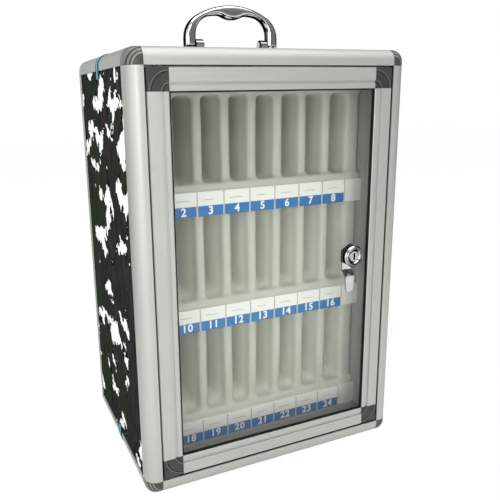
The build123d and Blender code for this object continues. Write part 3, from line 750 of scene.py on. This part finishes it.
def door_seal():
    """Black wiper strip round the jamb, with a bulged face towards the door. It leaves the
    corners at the pivots free."""
    jamb_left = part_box("rail_front_left")[1].x
    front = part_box("rail_front_left")[0].y
    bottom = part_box("rail_front_bottom")[1].z
    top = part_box("rail_front_top")[0].z
    beside_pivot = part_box("pivot_bush_bottom")[1].x + PIVOT_CLEAR
    long_run = [(beside_pivot, bottom), (-jamb_left, bottom), (-jamb_left, top), (beside_pivot, top)]
    pivot_run = [(jamb_left, top - PIVOT_CLEAR), (jamb_left, bottom + PIVOT_CLEAR)]
    shape = bmesh.new()
    for run in (long_run, pivot_run):
        seal_run(shape, [Vector((x, front, z)) for x, z in run])
    bmesh.ops.recalc_face_normals(shape, faces=shape.faces)
    finished(built("door_seal", shape), RUBBER, "case")


door_seal()


# ------------------------------------------------------------- cast handle
HANDLE_CELL = 0.9 * MM
HANDLE_ROUNDS = 60
HANDLE_FILL = 0.35 * MM     # given back after the smoothing


def cast_handle():
    """The carrying handle with the full, soft section of a polished casting."""
    piece = built("handle_casting", welded("handle"))
    soften(piece, HANDLE_CELL, HANDLE_ROUNDS)
    move_surface(piece, lambda vertex: vertex.co + vertex.normal * HANDLE_FILL)
    piece.data.shade_smooth()
    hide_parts("handle")
    finished(piece, CHROME, "handle")


cast_handle()


# ------------------------------------------------------------- lock collar
COLLAR_RISE = 1.35 * MM
COLLAR_TURNS = 72
COLLAR_PROFILE = (          # distance inside the flange's edge in millimetres, share of the rise
    (1.3, 0.0), (1.35, 0.45), (1.7, 0.85), (2.3, 1.0), (2.6, 0.9), (2.8, 0.25),
    (3.2, 0.2), (3.4, 0.8), (3.7, 0.95), (4.2, 0.8), (4.2, 0.0),
)
COLLAR_SHARP = math.radians(50)


def lock_collar():
    """Turned rim on the lock's flange: a bright shoulder, a groove and an inner lip."""
    low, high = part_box("lock_housing")
    centre = Vector(((low.x + high.x) / 2, low.y, (low.z + high.z) / 2))
    edge = (high.x - low.x) / 2
    shape = bmesh.new()
    rings = []
    for index in range(COLLAR_TURNS):
        angle = 2 * math.pi * index / COLLAR_TURNS
        around = Vector((math.cos(angle), 0, math.sin(angle)))
        rings.append([shape.verts.new(centre + around * (edge - inside * MM)
                                      - Vector((0, rise * COLLAR_RISE, 0)))
                      for inside, rise in COLLAR_PROFILE])
    skin(shape, rings + rings[:1])
    bmesh.ops.recalc_face_normals(shape, faces=shape.faces)
    piece = built("lock_collar", shape)
    piece.data.shade_smooth()
    piece.data.set_sharp_from_angle(angle=COLLAR_SHARP)
    finished(piece, LOCK, "door")


lock_collar()


# -------------------------------------------------------- printed numerals
NUMERAL_SIZE = 13.2 * MM
NUMERAL_SPACING = 1.12
NUMERAL_WEIGHT = 0.34 * MM
NUMERAL_LIFT = 0.03 * MM
NUMERAL_DEPTH = 0.04 * MM
NUMERAL_WELD = 0.001 * MM
UPRIGHT = Matrix.Rotation(math.radians(90), 4, "X")


def numeral_mesh(text):
    """A number as a thin plate that lies flat, centred on the origin."""
    curve = bpy.data.curves.new("numeral", "FONT")
    curve.body = text
    curve.size = NUMERAL_SIZE
    curve.space_character = NUMERAL_SPACING
    curve.align_x = "CENTER"
    curve.align_y = "CENTER"
    curve.offset = NUMERAL_WEIGHT
    curve.extrude = NUMERAL_DEPTH
    curve.resolution_u = 3
    holder = new_object("numeral", curve)
    bpy.context.view_layer.update()
    mesh = bpy.data.meshes.new_from_object(holder)
    bpy.data.objects.remove(holder)
    return mesh


def card_numerals():
    """White numbers from 1 up, one on the blue band of each card."""
    whole = bmesh.new()
    for number, (low, high) in enumerate(CARDS, 1):
        mesh = numeral_mesh(str(number))
        centre = Vector(((low.x + high.x) / 2, CARD_FACE - NUMERAL_LIFT, low.z + BAND_HEIGHT / 2))
        mesh.transform(Matrix.Translation(centre) @ UPRIGHT)
        whole.from_mesh(mesh)
        bpy.data.meshes.remove(mesh)
    bmesh.ops.remove_doubles(whole, verts=whole.verts, dist=NUMERAL_WELD)
    bmesh.ops.recalc_face_normals(whole, faces=whole.faces)
    finished(built("card_numerals", whole), INK_WHITE, "case")


card_numerals()


# --------------------------------------------------- repeated small pieces
class Branches(NodeBuilder):
    """A new geometry node tree that takes a cloud of points and some named values."""

    def __init__(self, name, inputs):
        super().__init__(bpy.data.node_groups.new(name, "GeometryNodeTree"))
        face = self.tree.interface
        face.new_socket("Geometry", in_out="OUTPUT", socket_type="NodeSocketGeometry")
        face.new_socket("Geometry", in_out="INPUT", socket_type="NodeSocketGeometry")
        for label, kind in inputs.items():
            face.new_socket(label, in_out="INPUT", socket_type="NodeSocket" + kind)
        self.given = self.add("NodeGroupInput").outputs
        self.output = self.add("NodeGroupOutput")

    def finish(self, geometry):
        """Real geometry with the chosen material comes out."""
        real = self.add("GeometryNodeRealizeInstances", {0: geometry})
        dressed = self.add("GeometryNodeSetMaterial",
                           {"Geometry": real.outputs[0], "Material": self.given["Material"]})
        self.feed(self.output.inputs[0], dressed.outputs[0])
        return self.tree


def bar_rows():
    """A row of upright or level bars that starts at each point."""
    b = Branches("bar_rows", {"Count": "Int", "Pitch": "Float", "Bar": "Vector", "Fade": "Float",
                              "Seed": "Int", "Material": "Material"})
    step = b.add("ShaderNodeCombineXYZ", {0: b.given["Pitch"]})
    line = b.add("GeometryNodeMeshLine", {"Count": b.given["Count"], "Offset": step.outputs[0]})
    rows = b.add("GeometryNodeInstanceOnPoints", {"Points": b.given["Geometry"],
                                                  "Instance": line.outputs[0]})
    places = b.add("GeometryNodeRealizeInstances", {0: rows.outputs[0]})
    bar = b.add("GeometryNodeMeshCube", {"Size": b.given["Bar"]})
    least = b.add("ShaderNodeMath", {0: 1.0, 1: b.given["Fade"]}, operation="SUBTRACT")
    length = b.add("FunctionNodeRandomValue", {2: least.outputs[0], 3: 1.0, "Seed": b.given["Seed"]},
                   data_type="FLOAT")
    scale = b.add("ShaderNodeCombineXYZ", {0: length.outputs[1], 1: 1.0, 2: length.outputs[1]})
    bars = b.add("GeometryNodeInstanceOnPoints", {"Points": places.outputs[0],
                                                  "Instance": bar.outputs[0],
                                                  "Scale": scale.outputs[0]})
    return b.finish(bars.outputs[0])


def screw_recesses():
    """Crossed driver slots as thin dark bars of painted shade, one pair at each point, each turned its
    own way.
    """
    b = Branches("screw_recesses", {"Slot": "Vector", "Seed": "Int", "Material": "Material"})
    slot_bar = b.add("GeometryNodeMeshCube", {"Size": b.given["Slot"]})
    crossed = b.add("GeometryNodeTransform", {"Geometry": slot_bar.outputs[0],
                                              "Rotation": (0.0, 0.0, math.radians(90))})
    both = b.add("GeometryNodeJoinGeometry")
    for part in (slot_bar, crossed):
        b.feed(both.inputs[0], part.outputs[0])
    turn = b.add("FunctionNodeRandomValue", {0: (0.0, 0.0, 0.0), 1: (0.0, 0.0, math.pi),
                                             "Seed": b.given["Seed"]}, data_type="FLOAT_VECTOR")
    crosses = b.add("GeometryNodeInstanceOnPoints", {"Points": b.given["Geometry"],
                                                     "Instance": both.outputs[0],
                                                     "Rotation": turn.outputs[0]})
    return b.finish(crosses.outputs[0])


def grown(name, points, tree, values, body):
    """Puts a tree on a cloud of points and keeps the result as a plain mesh."""
    cloud = bpy.data.meshes.new(name)
    cloud.from_pydata(points, [], [])
    piece = new_object(name, cloud)
    growth = piece.modifiers.new("growth", "NODES")
    growth.node_group = tree
    for item in tree.interface.items_tree:
        if item.item_type == "SOCKET" and item.in_out == "INPUT" and item.name in values:
            growth[item.identifier] = values[item.name]
    bake(piece)
    finished(piece, values["Material"], body)


BARS = bar_rows()
ROW_START = min(low.x for low, high in CARDS)
CARD_GAP = CARD_PITCH - CARD_WIDTH
EDGE_WIDTH = 0.5 * MM
EDGE_SIZE = (EDGE_WIDTH, EDGE_WIDTH, CARD_HEIGHT * 0.97)
LINE_SIZE = (16.0 * MM, 0.06 * MM, 0.55 * MM)
LINE_START = CARD_WIDTH * 0.45
LINE_HEIGHT = BAND_HEIGHT + 7.0 * MM
CROSS_SIZE = (3.0 * MM, 0.7 * MM, 0.08 * MM)

# thin bars of painted shade along each card's edges
grown("card_edge_shades",
      [(ROW_START - CARD_GAP / 2, CARD_FACE, floor + CARD_HEIGHT / 2) for floor in TIER_FLOORS],
      BARS, {"Count": CARDS_PER_TIER + 1, "Pitch": CARD_PITCH, "Fade": 0.0, "Seed": 3,
             "Bar": EDGE_SIZE, "Material": CARD_EDGE_SHADE}, "case")
grown("writing_lines",
      [(ROW_START + LINE_START, CARD_FACE, floor + LINE_HEIGHT) for floor in TIER_FLOORS],
      BARS, {"Count": CARDS_PER_TIER, "Pitch": CARD_PITCH, "Fade": 0.3, "Seed": 11,
             "Bar": LINE_SIZE, "Material": INK_GREY}, "case")
grown("screw_crosses",
      [((low.x + high.x) / 2, (low.y + high.y) / 2, high.z) for low, high in islands("bracket_screws")],
      screw_recesses(), {"Slot": CROSS_SIZE, "Seed": 7, "Material": RECESS_SHADE}, "case")


# ------------------------------------------------------------------- stage
FLOOR_HALF = 6.0
FLOOR_WHITE = 0.965         # share of plain white where the camera sees the floor
FLAG_DEPTH = (0.3, 0.6)     # from here on back, polished pieces mirror a dark floor
ROOM_STRENGTH = 0.87
ROOM_LEAST = 0.06
ROOM_DEPTH = (-0.15, 0.30)  # between these headings the mirrored room darkens
ROOM_DARKENING = 0.85
ROOM_TONES = ((0.0, 0.5), (0.47, 0.30), (0.55, 0.22), (0.66, 0.34), (0.78, 0.85), (1.0, 1.0))


def stage_floor():
    """White paper under the object, which takes a faint shadow."""
    mesh = bpy.data.meshes.new("floor")
    corners = [(-FLOOR_HALF, -FLOOR_HALF, 0), (FLOOR_HALF, -FLOOR_HALF, 0),
               (FLOOR_HALF, FLOOR_HALF, 0), (-FLOOR_HALF, FLOOR_HALF, 0)]
    mesh.from_pydata(corners, [], [(0, 1, 2, 3)])
    floor = new_object("floor", mesh)
    t = new_material("floor_paper")
    rays = t.add("ShaderNodeLightPath").outputs
    seen = t.math("MAXIMUM", rays["Is Camera Ray"], rays["Is Transmission Ray"])
    flag = t.math("MULTIPLY", t.range(t.axes()[1], *FLAG_DEPTH), rays["Is Glossy Ray"])
    shade = t.mix(flag, (0.86, 0.86, 0.86), (0.02, 0.02, 0.02))
    paper = t.add("ShaderNodeBsdfDiffuse", {"Color": shade})
    glow = t.add("ShaderNodeEmission", {"Color": (1, 1, 1), "Strength": 1.0})
    share = t.math("MULTIPLY", seen, FLOOR_WHITE)
    both = t.add("ShaderNodeMixShader", {0: share, 1: paper.outputs[0], 2: glow.outputs[0]})
    mesh.materials.append(t.show(both))


def studio_world():
    """Pale room, brightest overhead. Polished pieces see a darker room behind the object."""
    t = Tree(bpy.data.worlds.new("studio"), "ShaderNodeOutputWorld")
    heading = t.add("ShaderNodeSeparateXYZ", {0: t.coords["Generated"]}).outputs
    ramp = t.add("ShaderNodeValToRGB", {"Fac": t.range(heading[2], -1.0, 1.0)})
    elements = ramp.color_ramp.elements
    while len(elements) < len(ROOM_TONES):
        elements.new(1.0)
    for element, (position, tone) in zip(elements, ROOM_TONES):
        element.position = position
        element.color = (tone, tone, tone, 1.0)
    rays = t.add("ShaderNodeLightPath").outputs
    behind = t.range(heading[1], *ROOM_DEPTH, 0.0, ROOM_DARKENING)
    strength = t.math("SUBTRACT", ROOM_STRENGTH, t.math("MULTIPLY", behind, rays["Is Glossy Ray"]))
    strength = t.math("MAXIMUM", strength, ROOM_LEAST)
    room = t.add("ShaderNodeBackground", {"Color": ramp.outputs["Color"], "Strength": strength})
    white = t.add("ShaderNodeBackground", {"Color": (1, 1, 1)})
    both = t.add("ShaderNodeMixShader", {0: rays["Is Camera Ray"], 1: room.outputs[0],
                                         2: white.outputs[0]})
    bpy.context.scene.world = t.show(both)


def softbox(name, place, aim, size, watts):
    """A rectangular lamp that points at a place."""
    light = bpy.data.lights.new(name, "AREA")
    light.shape = "RECTANGLE"
    light.size, light.size_y = size
    light.energy = watts
    lamp = new_object(name, light)
    lamp.location = place
    lamp.rotation_euler = (Vector(aim) - Vector(place)).to_track_quat("-Z", "Y").to_euler()


stage_floor()
studio_world()
softbox("overhead", (0.1, -0.35, 1.9), (0, 0, 0.3), (1.8, 1.6), 32.0)
softbox("front_left", (-1.35, -1.85, 0.50), (0, 0, 0.20), (2.4, 1.5), 31.0)
softbox("front_low", (-0.55, -2.30, 0.45), (0, 0, 0.20), (0.8, 0.8), 14.0)
softbox("front_high", (-0.45, -2.0, 1.3), (0, 0, 0.40), (0.5, 0.35), 5.0)
softbox("back_left", (-1.35, 1.75, 0.80), (0, 0, 0.25), (1.7, 1.4), 9.0)
softbox("left_side", (-2.1, 0.1, 0.9), (0, 0, 0.3), (0.9, 1.4), 6.0)


# ------------------------------------------------------------------ camera
CAMERA_PLACE = Vector((-0.3083, -0.6625, 0.4335))
AZIMUTH = math.radians(-23.0407)
ELEVATION = math.radians(13.4376)
ROLL = math.radians(-1.1785)
SENSOR_WIDTH = 36.0
FOCAL_LENGTH = 41.32
SHIFT_X = 0.070
SHIFT_Y = -0.028


def place_camera():
    """The camera of the main view. It looks level with the roll taken out, then rolls."""
    back = Vector((math.sin(AZIMUTH) * math.cos(ELEVATION),
                   -math.cos(AZIMUTH) * math.cos(ELEVATION), math.sin(ELEVATION)))
    level_right = (-back).cross(Vector((0, 0, 1))).normalized()
    level_up = level_right.cross(-back)
    right = level_right * math.cos(ROLL) + level_up * math.sin(ROLL)
    up = level_up * math.cos(ROLL) - level_right * math.sin(ROLL)
    lens = bpy.data.cameras.new("camera")
    lens.sensor_width = SENSOR_WIDTH
    lens.lens = FOCAL_LENGTH
    lens.shift_x = SHIFT_X
    lens.shift_y = SHIFT_Y
    camera = new_object("camera", lens)
    turn = Matrix((right, up, back)).transposed().to_4x4()
    camera.matrix_world = Matrix.Translation(CAMERA_PLACE) @ turn
    bpy.context.scene.camera = camera


place_camera()
bpy.context.scene.view_settings.view_transform = "Standard"
